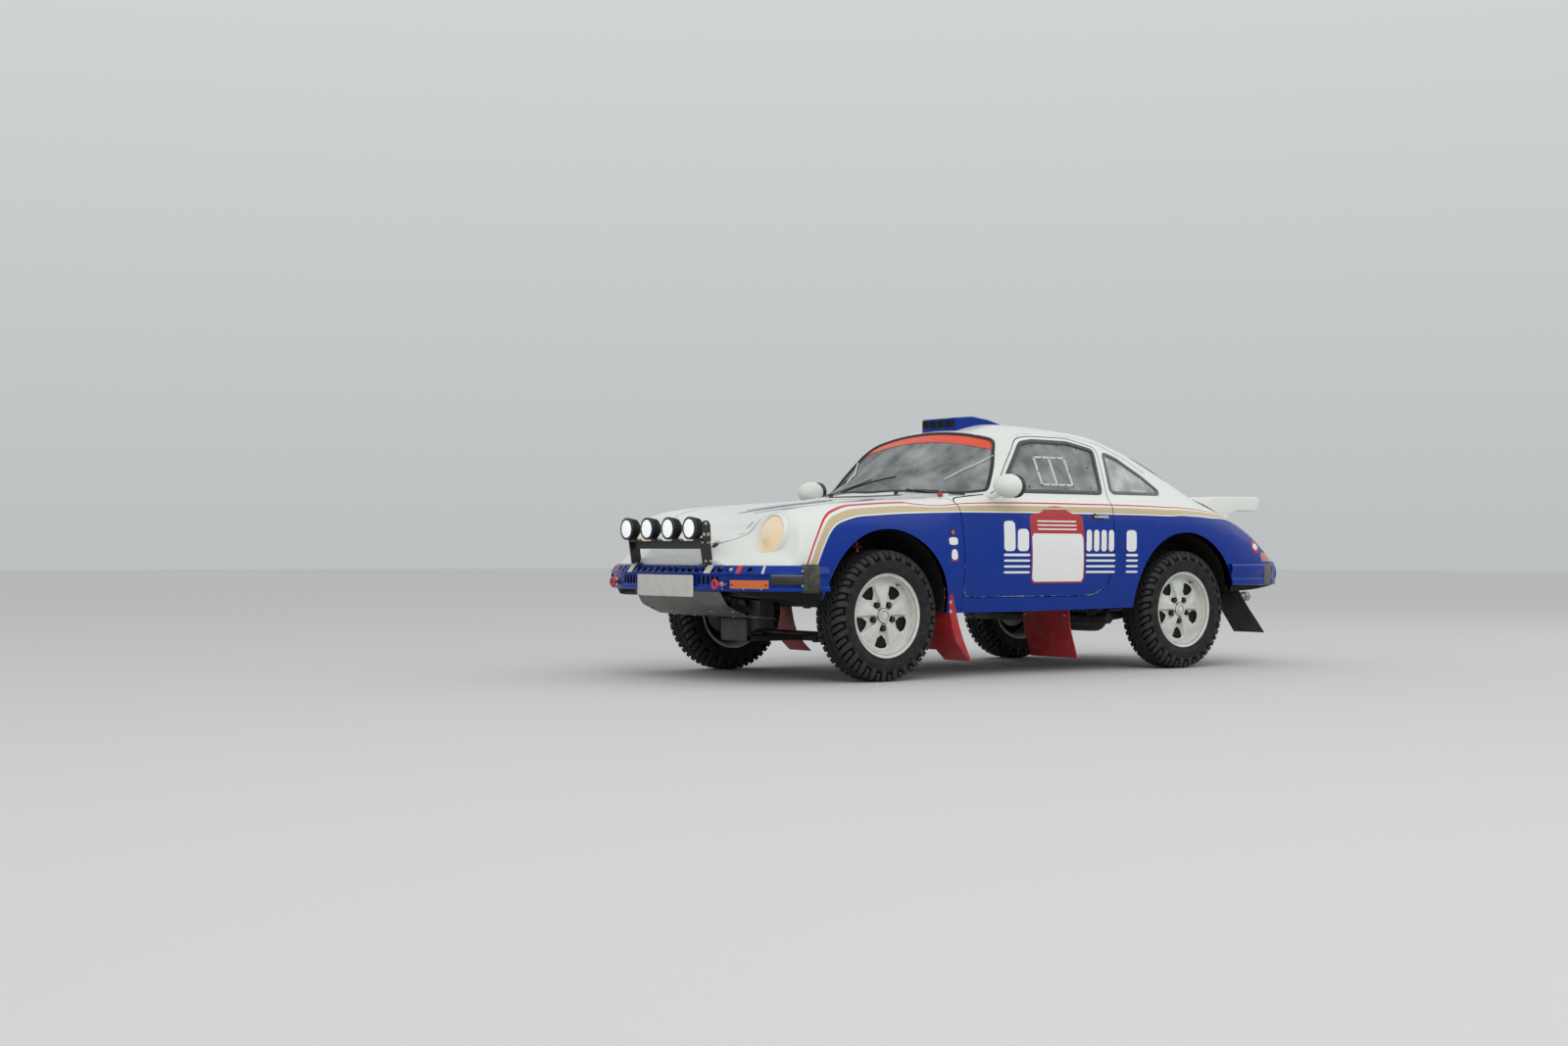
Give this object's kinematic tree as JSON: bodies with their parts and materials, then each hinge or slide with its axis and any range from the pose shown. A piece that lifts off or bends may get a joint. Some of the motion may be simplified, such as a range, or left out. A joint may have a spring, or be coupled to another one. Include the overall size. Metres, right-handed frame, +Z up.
{
  "type": "rally car",
  "caption": "Two-door rear-engined rally coupe on raised suspension with turning wheels, working steering, hinged doors and lids, driving lamps, a roll cage and mud flaps.",
  "frame": {"origin": "on the floor under the middle of the car's overall length and width", "axes": "+X towards the car's front, +Y to its left side, +Z up"},
  "size_m": [4.262, 1.892, 1.468],
  "materials": {
    "paint_white": "glossy white body paint",
    "paint_livery": "glossy white over deep blue, divided by thin red, white and sand stripes",
    "paint_blue": "glossy deep blue paint",
    "wheel_paint": "off-white paint on cast alloy",
    "black_steel": "satin black coated steel",
    "cage_paint": "white painted steel tube",
    "bare_alloy": "brushed aluminium sheet",
    "engine_metal": "dull cast alloy",
    "running_steel": "dark coated steel",
    "exhaust_steel": "stainless steel",
    "tow_red": "red painted steel",
    "tyre": "dark rubber with dust in the grooves",
    "black_rubber": "matt black rubber",
    "red_flap": "red plastic sheet",
    "black_flap": "black rubber sheet",
    "black_plastic": "matt black plastic",
    "plate_white": "blank off-white plate",
    "window_glass": "clear glass",
    "side_glazing": "clear polycarbonate",
    "headlamp_lens": "warm tinted fluted glass",
    "spot_lamp": "black housings with white lenses",
    "amber_lens": "amber lens plastic",
    "tail_lens": "amber and red lens plastic",
    "seat_cloth": "dark woven seat cloth"
  },
  "bodies": {
    "root": {"body_shell": "paint_livery", "front_fenders": "paint_livery", "windshield": "window_glass", "rear_window": "window_glass", "quarter_windows": "window_glass", "front_bumper": "paint_blue", "rear_bumper": "paint_blue", "bumper_bellows": "black_rubber", "skid_plate": "bare_alloy", "lamp_bar": "black_steel", "spot_lamps": "spot_lamp", "headlamps": "headlamp_lens", "front_indicators": "amber_lens", "tail_lamps": "tail_lens", "tow_eyes": "tow_red", "number_plates": "plate_white", "front_mudflaps": "red_flap", "rear_mudflaps": "black_flap", "roof_vents": "paint_blue", "roll_cage": "cage_paint", "seats": "seat_cloth", "dashboard": "black_plastic", "engine_block": "engine_metal", "front_suspension": "running_steel", "rear_suspension": "running_steel", "exhaust": "exhaust_steel", "wipers": "black_steel"},
    "steering_wheel": {"steering_wheel": "black_rubber"},
    "door_left": {"door_left": "paint_livery", "door_left_window": "side_glazing", "door_left_mirror": "paint_white"},
    "door_right": {"door_right": "paint_livery", "door_right_window": "side_glazing", "door_right_mirror": "paint_white"},
    "front_lid": {"front_lid": "paint_white"},
    "engine_lid": {"engine_lid": "paint_white", "tail_spoiler": "paint_white"},
    "knuckle_left": {"knuckle_left": "running_steel"},
    "knuckle_right": {"knuckle_right": "running_steel"},
    "wheel_front_left": {"tyre_front_left": "tyre", "rim_front_left": "wheel_paint"},
    "wheel_front_right": {"tyre_front_right": "tyre", "rim_front_right": "wheel_paint"},
    "wheel_rear_left": {"tyre_rear_left": "tyre", "rim_rear_left": "wheel_paint"},
    "wheel_rear_right": {"tyre_rear_right": "tyre", "rim_rear_right": "wheel_paint"}
  },
  "joints": [
    {"name": "steer_left", "type": "hinge", "parent": "root", "child": "knuckle_left", "pos_m": [1.201, 0.605, 0.345], "axis": [0, -0.2419, 0.9703], "range_deg": [-30, 30]},
    {"name": "steer_right", "type": "hinge", "parent": "root", "child": "knuckle_right", "pos_m": [1.201, -0.605, 0.345], "axis": [0, 0.2419, 0.9703], "range_deg": [-30, 30]},
    {"name": "steering_turn", "type": "hinge", "parent": "root", "child": "steering_wheel", "pos_m": [0.271, 0.35, 0.895], "axis": [-0.9511, 0, 0.309], "range_deg": [-540, 540]},
    {"name": "door_left_hinge", "type": "hinge", "parent": "root", "child": "door_left", "pos_m": [0.741, 0.795, 0.685], "axis": [0, 0, -1], "range_deg": [0, 65]},
    {"name": "door_right_hinge", "type": "hinge", "parent": "root", "child": "door_right", "pos_m": [0.741, -0.795, 0.685], "axis": [0, 0, 1], "range_deg": [0, 65]},
    {"name": "front_lid_hinge", "type": "hinge", "parent": "root", "child": "front_lid", "pos_m": [0.757, 0, 0.96268], "axis": [0, -1, 0], "range_deg": [0, 55]},
    {"name": "engine_lid_hinge", "type": "hinge", "parent": "root", "child": "engine_lid", "pos_m": [-1.42656, 0, 1.08123], "axis": [0, 1, 0], "range_deg": [0, 55]},
    {"name": "roll_front_left", "type": "hinge", "parent": "knuckle_left", "child": "wheel_front_left", "pos_m": [1.201, 0.685, 0.345], "axis": [0, 1, 0], "continuous": true},
    {"name": "roll_front_right", "type": "hinge", "parent": "knuckle_right", "child": "wheel_front_right", "pos_m": [1.201, -0.685, 0.345], "axis": [0, 1, 0], "continuous": true},
    {"name": "roll_rear_left", "type": "hinge", "parent": "root", "child": "wheel_rear_left", "pos_m": [-1.071, 0.69, 0.345], "axis": [0, 1, 0], "continuous": true},
    {"name": "roll_rear_right", "type": "hinge", "parent": "root", "child": "wheel_rear_right", "pos_m": [-1.071, -0.69, 0.345], "axis": [0, 1, 0], "continuous": true}
  ],
  "couplings": [
    {"joint": "steer_right", "follows": "steer_left", "ratio": 1},
    {"joint": "steering_turn", "follows": "steer_left", "ratio": 18}
  ]
}
